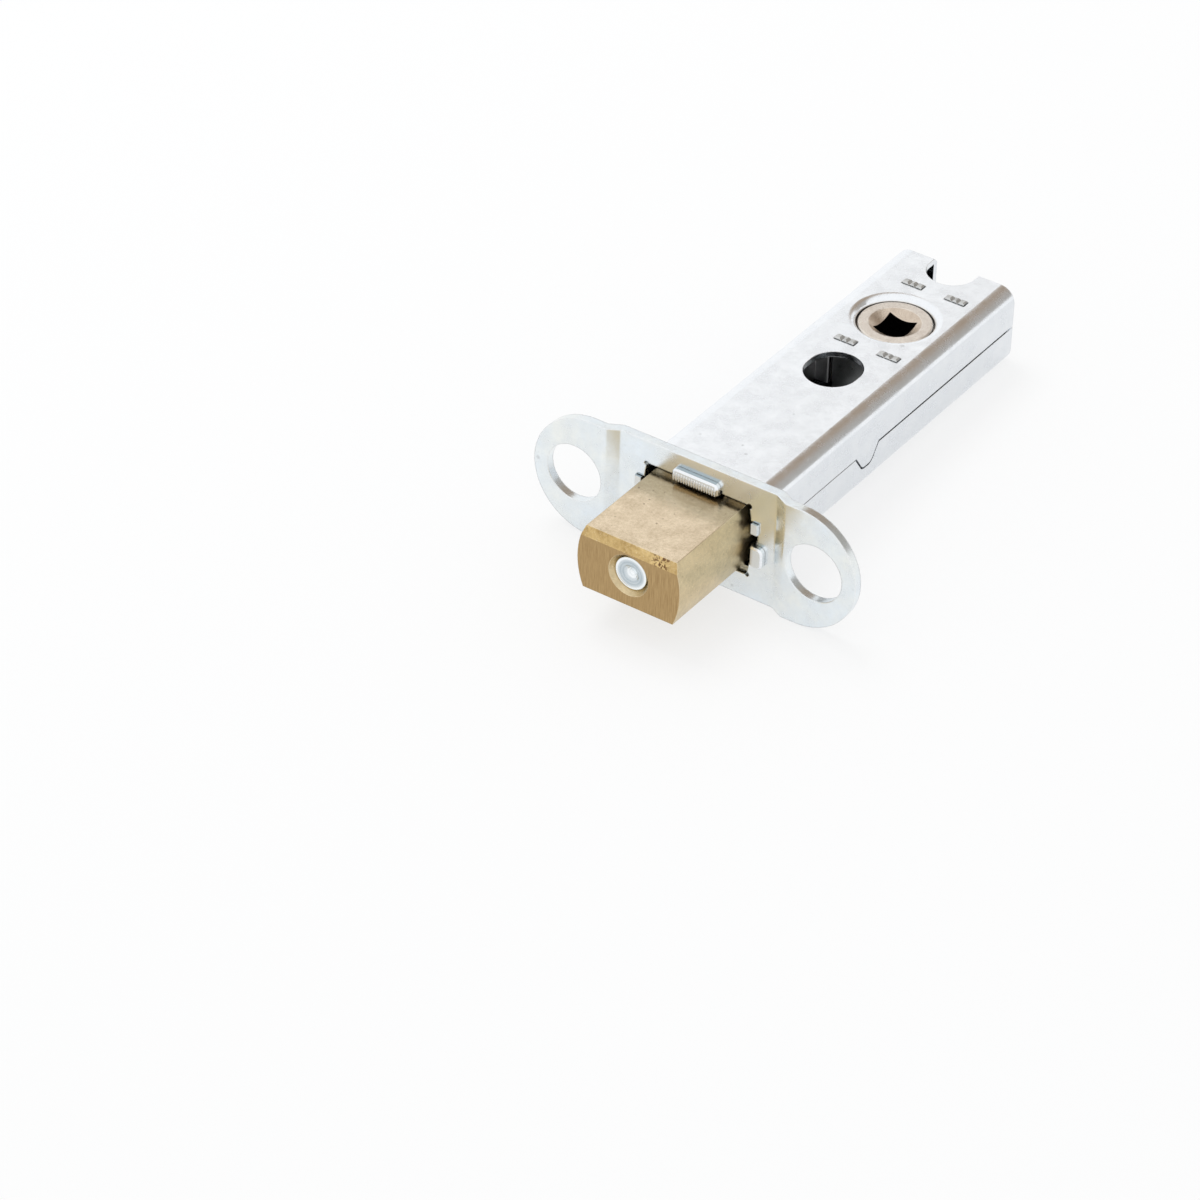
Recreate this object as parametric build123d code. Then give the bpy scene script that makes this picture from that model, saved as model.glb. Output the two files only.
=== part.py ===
from build123d import *
import os
from math import asin, atan, cos, degrees, radians, sin, sqrt, tan

# Tubular deadbolt with a 57 mm backset, shown with its bolt thrown.
# X runs along the forend, Y runs back along the case, Z runs up along the spindle.
# The origin is midway between the two screw holes, on the front plane of the forend's ears.

# Forend strip
forend_length = 59.0
forend_height = 21.0
forend_sheet = 1.5
forend_set_back = 1.2  # how far the middle lies behind the ears
forend_middle = 28.4  # width of the set-back middle
forend_slope = 2.2  # width of each slope between the middle and an ear
forend_bend = 0.7
window_clearance = 1.0  # above and below the bolt
window_side_clearance = 0.7
window_bow = 0.6  # how far the window's sides bow out
relief_radius = 0.45
relief_set_in = 0.2
screw_hole_radius = 5.0
screw_hole_wall = 2.5  # metal left between each hole and the strip's end

# Case shells
case_behind = 19.3  # from the spindle's axis to the rear face
case_width = 22.2
case_height = 14.0
case_sheet = 1.0
case_edge_radius = 2.7
case_end_edge = 0.9  # slant round the closed rear end
tab_root = 0.5  # how far each tab runs back into its shell
tab_bend = 0.9
seam_gap = 0.34  # between the shells, behind the tongue
seam_gap_ahead = 0.16

# Spindle and the holes for through bolts
backset = 57.0
spindle_square = 5.1
through_hole_ahead = 18.1  # centre of the front through hole, ahead of the spindle
through_hole_width = 9.0
through_hole_length = 10.2
end_notch_behind = 17.0  # centre of the rear notch's round end, behind the spindle
end_notch_width = 8.4

# Bolt
bolt_reach = 17.0  # front face ahead of the ears when thrown
bolt_length = 31.0
bolt_height = 11.0
bolt_flat_width = 16.4
bolt_bulge = 1.1  # how far each side bows out beyond the flats
bolt_bevel_depth = 0.7
bolt_bevel_height = 1.6
throw = 13.8

# Stud that ties the bolt to the draw bar
stud_radius = 2.55
stud_countersink = 3.6
stud_countersink_depth = 1.6
stud_set_in = 0.7
stud_end_radius = 2.8
stud_head_radius = 3.9
stud_head_height = 1.3
stud_head_taper = 0.8
stud_dimple_radius = 1.5
stud_dimple_depth = 0.8

# Draw bar
bar_web = 1.6
bar_thickness = 1.2
bar_height = 6.4
bar_web_height = 8.8
bar_fillet = 1.0
bar_chamfer = 1.0
bar_margin = 0.5  # web left beyond the stud's head
bar_window_gap = 0.4
bar_end_gap = 0.3  # left between the bar's end and the rear wall when withdrawn
lug_thickness = 1.0
lug_height = 6.0
lug_clearance = 1.2  # kept between the lugs' ends and the hub's core
lug_round = 0.45

# Hub
collar_radius = 6.25
collar_depth = 1.1  # how far the drawn collar stands into the case
collar_round = 1.3
journal_radius = 6.05
journal_set_in = 0.8
hub_flange_radius = 7.0
hub_flange = 0.9
hub_end_play = 0.1
hub_edge = 0.2
hub_core_radius = 5.0
hub_cone_radius = 4.3
hub_cone_depth = 2.7  # at the cone's point, which the square cuts away
cam_height = 4.4
cam_tip_radius = 0.85
cam_neck = 0.7  # half the finger's width behind its tip
cam_root = 1.1  # half the finger's width where it leaves the core
cam_neck_start = 1.4  # how far from the core the neck begins
cam_play = 0.55
detent_notch_depth = 0.45
detent_notch_radius = 1.0

# Spacer plates
spacer_offset = 10.0  # centre of each plate from the spindle
spacer_sheet = 1.3
spacer_shift = 1.1  # the tenons stand off to the right to let the draw bar pass
spacer_corner = 2.0
tenon_spacing = 8.0
tenon_width = 3.6
tenon_proud = 0.35
tenon_edge = 0.2
tenon_nick = 0.35  # depth of the two punch marks, and half their width
tenon_nick_spacing = 1.1

# Detent spring
spring_sheet = 0.4
spring_height = 4.8
spring_nose = 1.6  # how far the nose stands out from the leaf's bow
spring_bend = 0.5
spring_nose_half = 1.6

# Staked tabs and the tongue in the seam
tab_width = 8.4
tab_rise = 1.3
tab_corner = 0.9
tab_edge = 0.3
side_tab_low = 1.8
side_tab_high = 3.7
side_tab_proud = 0.5
side_tab_swell = 0.25
side_tab_edge = 0.15
hook_tab_low = -3.9
hook_tab_high = -0.2
hook_tab_reach = 1.5
tongue_behind = 32.1  # centre of the seam's tongue
tongue_width = 6.2
tongue_root = 2.4
tongue_depth = 2.7
tongue_rise = 0.5  # how far its flanks run up into the upper shell
tongue_flare = 0.35

# Clearances
seat_gap = 0.05
slot_gap = 0.12
wall_gap = 0.2
stop_gap = 0.1
tolerance = 0.01

# Worked out from the sizes above
screw_spacing = forend_length - 2 * (screw_hole_radius + screw_hole_wall)
case_end = backset + case_behind
middle_front = forend_set_back
middle_back = middle_front + forend_sheet
half_width = case_width / 2
half_height = case_height / 2
inner_width = half_width - case_sheet
inner_height = half_height - case_sheet
bolt_half = bolt_height / 2
bolt_side = bolt_flat_width / 2 + bolt_bulge
bolt_front = -bolt_reach
bolt_rear = bolt_front + bolt_length
window_half_height = bolt_half + window_clearance
window_side = bolt_side + window_side_clearance
window_corner = window_side - window_bow
bar_outer = -(inner_width - wall_gap)
bar_inner = bar_outer + bar_thickness
cam_radius = inner_width - wall_gap - cam_tip_radius
cam_swing = degrees(asin(throw / 2 / cam_radius))
hub_turn = 2 * cam_swing
gate = backset - throw / 2
lug_inner = -(hub_core_radius + lug_clearance)
plate_left = spacer_shift - tenon_spacing / 2 - tenon_width / 2
plate_right = inner_width - 2 * wall_gap
plate_inner_face = spacer_offset - spacer_sheet / 2
collar_end = inner_height - collar_depth
flange_top = collar_end - hub_end_play
flange_bottom = flange_top - hub_flange
through_hole = backset - through_hole_ahead
end_notch = backset + end_notch_behind
far = 100.0


def block(x, y, z):
    """A box between two corners, given as pairs of limits."""
    size = Box(x[1] - x[0], y[1] - y[0], z[1] - z[0])
    return Pos((x[0] + x[1]) / 2, (y[0] + y[1]) / 2, (z[0] + z[1]) / 2) * size


def along_y(profile, start, end):
    """Extrudes a profile drawn in X and Z from one Y to another."""
    plane = Plane(origin=(0, start, 0), x_dir=(1, 0, 0), z_dir=(0, -1, 0))
    return extrude(plane * profile, amount=start - end)


def along_z(profile, start, end):
    """Extrudes a profile drawn in X and Y from one Z to another."""
    return extrude(Pos(0, 0, start) * profile, amount=end - start)


def along_x(profile, start, end):
    """Extrudes a profile drawn in Y and Z from one X to another."""
    plane = Plane(origin=(start, 0, 0), x_dir=(0, 1, 0), z_dir=(1, 0, 0))
    return extrude(plane * profile, amount=end - start)


def disc(radius, start, end, x=0.0, z=0.0):
    """A round bar along Y."""
    return along_y(Pos(x, z) * Circle(radius), start, end)


def cone_y(radius_front, radius_back, front, back):
    """A cone along Y with a radius at its front and at its back."""
    outline = Polyline((0, front), (radius_front, front), (radius_back, back), (0, back), close=True)
    return revolve(make_face(outline), axis=Axis.Y)


def edges_at(body, direction, **place):
    """The body's edges that run one way and lie at the given X, Y or Z."""
    found = body.edges().filter_by(direction)
    for name, value in place.items():
        found = found.filter_by(lambda e: abs(getattr(e.center(), name) - value) < tolerance)
    return found


def bowed_block(half_flat, half_side, half_tall):
    """A profile with a flat top and bottom and sides that bow out."""
    top = Line((-half_flat, half_tall), (half_flat, half_tall))
    right = ThreePointArc((half_flat, half_tall), (half_side, 0), (half_flat, -half_tall))
    bottom = Line((half_flat, -half_tall), (-half_flat, -half_tall))
    left = ThreePointArc((-half_flat, -half_tall), (-half_side, 0), (-half_flat, half_tall))
    return make_face(Curve() + [top, right, bottom, left])


def make_forend():
    """The joggled strip with its screw holes, bolt window and the notches for the tabs."""
    bend = forend_middle / 2
    ear = bend + forend_slope
    shift = forend_sheet * tan(atan(forend_set_back / forend_slope) / 2)
    end = forend_length / 2
    front = [(-end, 0), (-ear, 0), (-bend, middle_front), (bend, middle_front), (ear, 0), (end, 0)]
    back = [(end, forend_sheet), (ear + shift, forend_sheet), (bend + shift, middle_back)]
    back += [(-x, y) for x, y in reversed(back)]
    strip = make_face(Polyline(*front, *back, close=True))
    bends = strip.vertices().filter_by(lambda v: abs(v.X) < ear + 2 * shift)
    strip = fillet(bends, forend_bend)
    body = along_z(strip, -forend_height / 2, forend_height / 2)
    body &= along_y(SlotOverall(forend_length, forend_height), -1.0, middle_back + 1.0)
    for side in (-1, 1):
        body -= disc(screw_hole_radius, -1.0, middle_back + 1.0, x=side * screw_spacing / 2)
    window = bowed_block(window_corner, window_side, window_half_height)
    for side in (-1, 1):
        notch_top = half_height + seat_gap
        notch_width = tab_width + 4 * slot_gap
        window += Pos(0, side * notch_top / 2) * Rectangle(notch_width, notch_top)
        tall = side_tab_high - hook_tab_low + 2 * slot_gap
        middle = (side_tab_high + hook_tab_low) / 2
        window += Pos(side * (half_width + seat_gap) / 2, middle) * Rectangle(half_width + seat_gap, tall)
        for level in (-1, 1):
            corner = Pos(side * window_corner, level * (window_half_height - relief_set_in))
            window += corner * Circle(relief_radius)
    body -= along_y(window, middle_front - 1.0, middle_back + 1.0)
    return body


def tongue_profile(extra=0.0):
    """The rounded tongue in the seam, drawn in Y and Z, grown by a gap all round."""
    half = tongue_width / 2 + tongue_flare
    root = tongue_root / 2
    points = [(tongue_behind - half, tongue_rise), (tongue_behind - root, -tongue_depth)]
    points += [(tongue_behind + root, -tongue_depth), (tongue_behind + half, tongue_rise)]
    face = make_face(Polyline(*points, close=True))
    low = face.vertices().filter_by(lambda v: v.Y < 0)
    face = fillet(low, root)
    if extra:
        face = offset(face, extra)
    return face


def make_case_body():
    """The closed case before it is parted along its seam."""
    outer = along_y(RectangleRounded(case_width, case_height, case_edge_radius), middle_back, case_end)
    outer = chamfer(outer.faces().sort_by(Axis.Y)[-1].edges(), case_end_edge)
    inner_round = case_edge_radius - case_sheet
    inner = RectangleRounded(2 * inner_width, 2 * inner_height, inner_round)
    body = outer - along_y(inner, middle_back - 1.0, case_end - case_sheet)
    collar = Pos(0, backset) * Circle(collar_radius + case_sheet)
    for side in (-1, 1):
        body += along_z(collar, side * collar_end, side * (half_height - case_sheet / 2))
    body -= along_z(Pos(0, backset) * Circle(collar_radius), -half_height - 1, half_height + 1)
    for side in (-1, 1):
        mouth = edges_at(body, GeomType.CIRCLE, Y=backset, Z=side * half_height)
        body = fillet(mouth, collar_round)
    ahead = Pos(0, through_hole) * Rot(0, 0, 90) * SlotOverall(through_hole_length, through_hole_width)
    body -= along_z(ahead, -half_height - 1, half_height + 1)
    notch = Pos(0, end_notch) * Circle(end_notch_width / 2)
    notch += Pos(0, end_notch + far / 2) * Rectangle(end_notch_width, far)
    body -= along_z(notch, -half_height - 1, half_height + 1)
    for x in (-1, 1):
        for y in (-1, 1):
            spot = Pos(spacer_shift + x * tenon_spacing / 2, backset + y * spacer_offset)
            slot = spot * Rectangle(tenon_width + 2 * slot_gap, spacer_sheet + 2 * slot_gap)
            body -= along_z(slot, -half_height - 1, half_height + 1)
    return body


def soften_front(body):
    """Takes the sharp outline off a tab's front face, all but the side where it runs into the bend."""
    face = body.faces().filter_by(Axis.Y).sort_by(Axis.Y)[0]
    round_faces = body.faces().filter_by(GeomType.CYLINDER)
    bend = max(round_faces, key=lambda f: f.area)
    outline = [e for e in face.edges() if not any(e.is_same(other) for other in bend.edges())]
    return chamfer(outline, tab_edge)


def folded_tab(level):
    """The wide tab above or below the bolt, folded back over the front of the forend."""
    low = level * inner_height
    high = level * half_height
    front = middle_front - seat_gap - case_sheet
    top = level * (half_height + tab_rise)
    points = [(middle_back + tab_root, low), (front, low), (front, top), (middle_front - seat_gap, top)]
    points += [(middle_front - seat_gap, high), (middle_back + tab_root, high)]
    face = make_face(Polyline(*points, close=True))
    corner = face.vertices().sort_by_distance((front, low, 0))[0]
    face = fillet(corner, tab_bend)
    body = along_x(face, -tab_width / 2, tab_width / 2)
    body = fillet(edges_at(body, Axis.Y, Z=top), tab_corner)
    return soften_front(body)


def staked_tab(side):
    """A small upper side tab, its end swollen by the staking punch."""
    front = middle_front - side_tab_proud
    points = [(side * inner_width, middle_back + tab_root), (side * inner_width, front)]
    points += [(side * (half_width + side_tab_swell - side_tab_edge), front)]
    points += [(side * (half_width + side_tab_swell), middle_front - seat_gap)]
    points += [(side * half_width, middle_front - seat_gap), (side * half_width, middle_back + tab_root)]
    return along_z(make_face(Polyline(*points, close=True)), side_tab_low, side_tab_high)


def hooked_tab(side):
    """A lower side tab, folded outwards over the front of the forend."""
    front = middle_front - seat_gap - case_sheet
    reach = half_width + hook_tab_reach
    back = middle_front - seat_gap
    points = [(side * inner_width, middle_back + tab_root), (side * inner_width, front)]
    points += [(side * reach, front), (side * reach, back)]
    points += [(side * half_width, back), (side * half_width, middle_back + tab_root)]
    face = make_face(Polyline(*points, close=True))
    corner = face.vertices().sort_by_distance((side * inner_width, front, 0))[0]
    face = fillet(corner, tab_bend)
    body = along_z(face, hook_tab_low, hook_tab_high)
    body = fillet(edges_at(body, Axis.Y, X=side * reach), tab_corner)
    return soften_front(body)


def make_shells(body):
    """Parts the case along its seam and adds each shell's tabs."""
    reach = (-far, far)
    ahead = (-far, tongue_behind)
    behind = (tongue_behind, far)
    above = block(reach, ahead, (seam_gap_ahead / 2, far)) + block(reach, behind, (seam_gap / 2, far))
    below = block(reach, ahead, (-far, -seam_gap_ahead / 2)) + block(reach, behind, (-far, -seam_gap / 2))
    tongue = along_x(tongue_profile(), -far, far)
    socket = along_x(tongue_profile(seam_gap), -far, far)
    upper = body & (above + (tongue & block(reach, reach, (-far, seam_gap))))
    lower = body & (below - socket)
    upper += folded_tab(1)
    lower += folded_tab(-1)
    for side in (-1, 1):
        upper += staked_tab(side)
        lower += hooked_tab(side)
    return upper, lower


def make_bolt():
    """The solid bolt with its bevelled top edge and the countersunk hole for the stud."""
    body = along_y(bowed_block(bolt_flat_width / 2, bolt_side, bolt_half), bolt_front, bolt_rear)
    bevel = Polyline(
        (bolt_front - 1, bolt_half + 1),
        (bolt_front - 1, bolt_half - bolt_bevel_height),
        (bolt_front, bolt_half - bolt_bevel_height),
        (bolt_front + bolt_bevel_depth, bolt_half),
        (bolt_front + bolt_bevel_depth, bolt_half + 1),
        close=True,
    )
    body -= along_x(make_face(bevel), -far, far)
    body -= disc(stud_radius + seat_gap, bolt_front - 1, bolt_rear + 1)
    sink = bolt_front + stud_countersink_depth
    body -= cone_y(stud_countersink, stud_radius + seat_gap, bolt_front, sink)
    return body


def make_stud():
    """The stud, headed behind the draw bar and spread into the bolt's countersink in front."""
    end = bolt_front + stud_set_in
    sink = bolt_front + stud_countersink_depth
    slope = (stud_countersink - stud_radius - seat_gap) / stud_countersink_depth
    spread = bolt_front + (stud_countersink - stud_end_radius) / slope - seat_gap
    web_back = bolt_rear + bar_web
    head = web_back + stud_head_height
    points = [(0, end + stud_dimple_depth), (stud_dimple_radius, end), (stud_end_radius, end)]
    points += [(stud_end_radius, spread), (stud_radius, sink), (stud_radius, web_back)]
    points += [(stud_head_radius, web_back), (stud_head_radius - stud_head_taper, head), (0, head)]
    return revolve(make_face(Polyline(*points, close=True)), axis=Axis.Y)


def make_draw_bar():
    """The cast bar: a web behind the bolt, an arm along the left wall and a gate for the cam."""
    web_back = bolt_rear + bar_web
    tail = case_end - case_sheet - throw - bar_end_gap
    body = block((bar_outer, bar_inner), (bolt_rear, tail), (-bar_height / 2, bar_height / 2))
    across = (bar_outer, stud_head_radius + bar_margin)
    body += block(across, (bolt_rear, web_back), (-bar_web_height / 2, bar_web_height / 2))
    body = fillet(edges_at(body, Axis.Z, X=bar_inner, Y=web_back), bar_fillet)
    opening = cam_tip_radius + cam_play
    for side in (-1, 1):
        near = gate + side * opening
        away = near + side * lug_thickness
        lug = block((bar_outer, lug_inner), sorted((near, away)), (-lug_height / 2, lug_height / 2))
        body += fillet(edges_at(lug, Axis.Z, X=lug_inner), lug_round)
    window = cam_height / 2 + bar_window_gap
    body -= block((bar_outer - 1, bar_inner + 1), (gate - opening, gate + opening), (-window, window))
    body -= disc(stud_radius + seat_gap, bolt_rear - 1, web_back + 1)
    return chamfer(edges_at(body, Axis.X, Y=tail), bar_chamfer)


def sector(radius, half_angle):
    """A wedge of a disc about the left-hand direction."""
    left = 180.0
    start = (radius * cos(radians(left - half_angle)), radius * sin(radians(left - half_angle)))
    end = (radius * cos(radians(left + half_angle)), radius * sin(radians(left + half_angle)))
    edge = ThreePointArc(start, (-radius, 0), end)
    return make_face(Curve() + [Line((0, 0), start), edge, Line(end, (0, 0))])


def cam_finger():
    """The hub's finger, pointing left: it narrows from the core to a neck behind a round tip."""
    neck = hub_core_radius + cam_neck_start
    reach = sqrt(cam_tip_radius**2 - cam_neck**2)
    root = sqrt(hub_core_radius**2 - cam_root**2)
    edge = [(-root, cam_root), (-neck, cam_neck), (-cam_radius + reach, cam_neck)]
    back = [(x, -y) for x, y in reversed(edge)]
    finger = make_face(Polyline(*edge, *back, close=True))
    finger += Pos(-cam_radius, 0) * Circle(cam_tip_radius)
    return finger


def make_hub():
    """The hub: journals, flanges with stop wings, and a core with a finger and two detent notches."""
    top = half_height - journal_set_in
    body = along_z(Circle(journal_radius), -top, top)
    body = chamfer(body.edges(), hub_edge)
    body += along_z(Circle(hub_flange_radius), -flange_top, flange_top)
    body -= along_z(Circle(far) - Circle(hub_core_radius), -flange_bottom, flange_bottom)
    wing_radius = inner_width - 2 * wall_gap
    wing_angle = degrees(asin((plate_inner_face - stop_gap) / wing_radius)) - cam_swing
    wing = sector(wing_radius, wing_angle)
    body += along_z(wing, flange_bottom, flange_top)
    body += along_z(wing, -flange_top, -flange_bottom)
    body += along_z(cam_finger(), -cam_height / 2, cam_height / 2)
    notch_centre = hub_core_radius + detent_notch_radius - detent_notch_depth
    for angle in (0, hub_turn):
        notch = Rot(0, 0, angle - cam_swing) * Pos(notch_centre, 0) * Circle(detent_notch_radius)
        body -= along_z(notch, -flange_bottom, flange_bottom)
    body = Rot(0, 0, cam_swing) * body
    body -= along_z(Rectangle(spindle_square, spindle_square), -half_height, half_height)
    for side in (-1, 1):
        point = side * (top - hub_cone_depth)
        outline = Polyline((0, side * top), (hub_cone_radius, side * top), (0, point), close=True)
        body -= revolve(make_face(Plane.XZ * outline), axis=Axis.Z)
    return Pos(0, backset, 0) * body


def make_spacer(side):
    """A transverse plate whose four tenons are staked into the shells' slots."""
    place = backset + side * spacer_offset
    span = (place - spacer_sheet / 2, place + spacer_sheet / 2)
    tall = inner_height - seat_gap
    body = block((plate_left, plate_right), span, (-tall, tall))
    body = fillet(edges_at(body, Axis.Y, X=plate_right), spacer_corner)
    reach = half_height + tenon_proud
    for x in (-1, 1):
        centre = spacer_shift + x * tenon_spacing / 2
        tenon = block((centre - tenon_width / 2, centre + tenon_width / 2), span, (-reach, reach))
        ends = tenon.faces().filter_by(Axis.Z).edges()
        body += chamfer(ends, tenon_edge)
        for z in (-1, 1):
            for mark in (centre - tenon_nick_spacing / 2, centre + tenon_nick_spacing / 2):
                mouth = z * (reach + tenon_nick)
                bottom = z * (reach - tenon_nick)
                half = 2 * tenon_nick
                nick = Polyline((mark - half, mouth), (mark, bottom), (mark + half, mouth), close=True)
                body -= along_y(make_face(nick), span[0] - 1, span[1] + 1)
    return body


def make_spring():
    """The bent leaf that presses a crimped nose into the hub's notch."""
    wall = inner_width - seat_gap - spring_sheet / 2
    end = plate_inner_face - stop_gap - spring_sheet / 2
    notch_floor = hub_core_radius - detent_notch_depth
    nose_angle = atan(spring_nose_half / spring_nose)
    tip = notch_floor + stop_gap + spring_sheet / 2 - spring_bend * (1 / sin(nose_angle) - 1)
    half = [(wall, end), (tip + spring_nose, spring_nose_half)]
    other = [(x, -y) for x, y in reversed(half)]
    leaf = trace(FilletPolyline(*half, (tip, 0), *other, radius=spring_bend), line_width=spring_sheet)
    return Pos(0, backset, 0) * along_z(leaf, -spring_height / 2, spring_height / 2)


def write(name, shape):
    """Writes one piece to its own file."""
    solids = shape.solids()
    shape = solids[0] if len(solids) == 1 else Compound(children=solids)
    shape.label = name
    export_step(shape, f"parts/{name}.step")
    print(name, "volume", round(shape.volume, 1))


os.makedirs("parts", exist_ok=True)
upper_shell, lower_shell = make_shells(make_case_body())
write("forend_plate", make_forend())
write("case_upper_shell", upper_shell)
write("case_lower_shell", lower_shell)
write("bolt_head", make_bolt())
write("bolt_stud", make_stud())
write("draw_bar", make_draw_bar())
write("hub", make_hub())
write("spacer_plate_front", make_spacer(-1))
write("spacer_plate_rear", make_spacer(1))
write("detent_spring", make_spring())
print("cam radius", round(cam_radius, 3), "hub turn", round(hub_turn, 3))
print("coupling, radians per metre", round(radians(hub_turn) / throw * 1000, 4))
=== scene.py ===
# %% [markdown]
# # A tubular deadbolt on a white table
# The solids come from the CAD model, already the right size and in the right place.
# This file gives each metal its finish, adds the fine ribs that the press left on the folded tabs,
# and lights the lock softly, as for a catalogue picture.

# %% Load the frame
import math

import bpy
from mathutils import Matrix, Vector


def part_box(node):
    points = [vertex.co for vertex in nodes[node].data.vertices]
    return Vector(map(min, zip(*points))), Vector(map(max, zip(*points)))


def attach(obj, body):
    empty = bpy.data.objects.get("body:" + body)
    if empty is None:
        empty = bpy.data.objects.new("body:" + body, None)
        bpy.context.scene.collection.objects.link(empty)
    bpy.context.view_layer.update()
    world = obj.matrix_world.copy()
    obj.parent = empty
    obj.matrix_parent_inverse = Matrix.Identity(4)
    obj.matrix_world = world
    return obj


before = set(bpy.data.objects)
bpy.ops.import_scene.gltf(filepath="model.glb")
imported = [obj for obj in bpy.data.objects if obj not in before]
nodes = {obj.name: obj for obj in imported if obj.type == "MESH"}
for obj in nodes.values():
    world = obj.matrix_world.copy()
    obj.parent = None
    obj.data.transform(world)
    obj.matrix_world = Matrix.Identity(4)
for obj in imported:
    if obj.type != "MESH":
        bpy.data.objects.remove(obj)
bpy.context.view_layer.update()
MM = 0.001
print("pieces from the CAD model:", len(nodes))

# %% [markdown]
# ## Small helpers for shader trees
# Every finish here is a node tree. A node's input takes either a link from another node or a
# stored value, so the first helper does whichever fits what it is given. The second adds a node
# and fills its inputs by name.

# %% Add a node and fill its inputs
def feed(tree, socket, value):
    """Links a socket to another node's output, or stores a plain value in it."""
    if isinstance(value, bpy.types.NodeSocket):
        tree.links.new(value, socket)
    else:
        socket.default_value = value


def make(tree, kind, settings=None, **values):
    """Adds a node, sets its own settings and then its named inputs."""
    item = tree.nodes.new(kind)
    for name, value in (settings or {}).items():
        setattr(item, name, value)
    for name, value in values.items():
        feed(tree, item.inputs[name.replace("_", " ")], value)
    return item


print("helpers for single nodes:", feed.__name__, make.__name__)

# %% [markdown]
# ## Sums of masks
# Masks are plain numbers from 0 to 1, so Math nodes combine them: multiplying two masks keeps only
# what lies in both, and a weighted sum mixes two patterns.

# %% Sums of masks
def arithmetic(tree, operation, first, second=0.0, clamp=False):
    """A Math node's result."""
    item = make(tree, "ShaderNodeMath", {"operation": operation, "use_clamp": clamp})
    feed(tree, item.inputs[0], first)
    feed(tree, item.inputs[1], second)
    return item.outputs[0]


def plus(tree, first, second, clamp=False):
    return arithmetic(tree, "ADD", first, second, clamp)


def times(tree, first, second, clamp=False):
    return arithmetic(tree, "MULTIPLY", first, second, clamp)


def weigh(tree, first, second, share):
    """Two patterns added: the first by its share, the second by the rest."""
    return plus(tree, times(tree, first, share), times(tree, second, 1.0 - share))


print("helpers for masks:", [helper.__name__ for helper in (arithmetic, plus, times, weigh)])

# %% [markdown]
# ## Places and directions
# A place and a direction are three numbers each. Vector Math works on all three at once, and
# Separate XYZ takes them apart where a pattern needs only one or two.

# %% Places and directions
def vector(tree, operation, first, second):
    """A Vector Math node's outputs."""
    item = make(tree, "ShaderNodeVectorMath", {"operation": operation})
    feed(tree, item.inputs[0], first)
    feed(tree, item.inputs[1], second)
    return item.outputs


def apart(tree, place):
    """A place's X, Y and Z."""
    return make(tree, "ShaderNodeSeparateXYZ", Vector=place).outputs


def reach(tree, first, second):
    """How far a point lies from an axis, from its two coordinates across that axis."""
    flat = make(tree, "ShaderNodeCombineXYZ", X=first, Y=second).outputs["Vector"]
    return make(tree, "ShaderNodeVectorMath", {"operation": "LENGTH"}, Vector=flat).outputs["Value"]


print("helpers for places:", [helper.__name__ for helper in (vector, apart, reach)])

# %% [markdown]
# ## Ranges and coats of colour
# Map Range turns one stretch of values into another, with soft ends. A finish is then built as a
# painter builds it: one colour under, and the next laid over it where a mask says.

# %% Ranges and colours
def span(tree, value, start, end, low=0.0, high=1.0):
    """Turns a value's stretch from start to end into low to high, smoothly."""
    limits = {"From_Min": start, "From_Max": end, "To_Min": low, "To_Max": high}
    item = make(tree, "ShaderNodeMapRange", {"interpolation_type": "SMOOTHSTEP"}, Value=value, **limits)
    return item.outputs["Result"]


def rgb(red, green, blue):
    return (red, green, blue, 1.0)


def blend(tree, amount, low, high):
    """A colour between two others. In a Mix node, sockets 6 and 7 and output 2 are the colour ones."""
    item = make(tree, "ShaderNodeMix", {"data_type": "RGBA"})
    for socket, value in zip((item.inputs[0], item.inputs[6], item.inputs[7]), (amount, low, high)):
        feed(tree, socket, value)
    return item.outputs[2]


def coat(tree, colour, mask, share, paint):
    """Lays a second colour over the first where the mask says, at a share of its full strength."""
    return blend(tree, times(tree, mask, share), colour, paint)


print("helpers for colours:", [helper.__name__ for helper in (span, rgb, blend, coat)])

# %% [markdown]
# ## Opening and closing a metal
# A pattern has to stay on its piece when the lock moves, so every finish reads Object coordinates, here in
# millimetres. The Principled shader stays in the material itself, and gets its colour, roughness and fine
# relief at the end.

# %% Open and close a metal
GRAIN_DEPTH = 0.06 * MM


def new_metal(name):
    """A material that is metal all over, its shader, and its Object coordinates in millimetres."""
    material = bpy.data.materials.new(name)
    material.use_nodes = True
    tree = material.node_tree
    shader = tree.nodes["Principled BSDF"]
    shader.inputs["Metallic"].default_value = 1.0
    place = tree.nodes.new("ShaderNodeTexCoord").outputs["Object"]
    scaled = make(tree, "ShaderNodeVectorMath", {"operation": "SCALE"}, Vector=place, Scale=1 / MM)
    return material, tree, shader, scaled.outputs["Vector"]


def close_metal(tree, shader, colour, roughness, relief, normal, strength, depth=GRAIN_DEPTH):
    """Plugs a finish into its shader, with its relief as bump over the rounded normal."""
    tree.links.new(colour, shader.inputs["Base Color"])
    tree.links.new(roughness, shader.inputs["Roughness"])
    bump = make(tree, "ShaderNodeBump", Strength=strength, Distance=depth, Height=relief, Normal=normal)
    tree.links.new(bump.outputs["Normal"], shader.inputs["Normal"])


print("grain depth in mm:", GRAIN_DEPTH / MM)

# %% [markdown]
# ## Effects that several metals share
# Zinc plate, brass and steel show the same things up close: cloudy patches, fine lines left by
# rolling or drawing, scratches, specks, and edges that catch the light. Each effect is built once
# as a node group with named inputs, so a material only chooses its own sizes and strengths.

# %% Open a node group, and use one
FLOAT = "NodeSocketFloat"
VECTOR = "NodeSocketVector"
effects = {}


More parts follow.
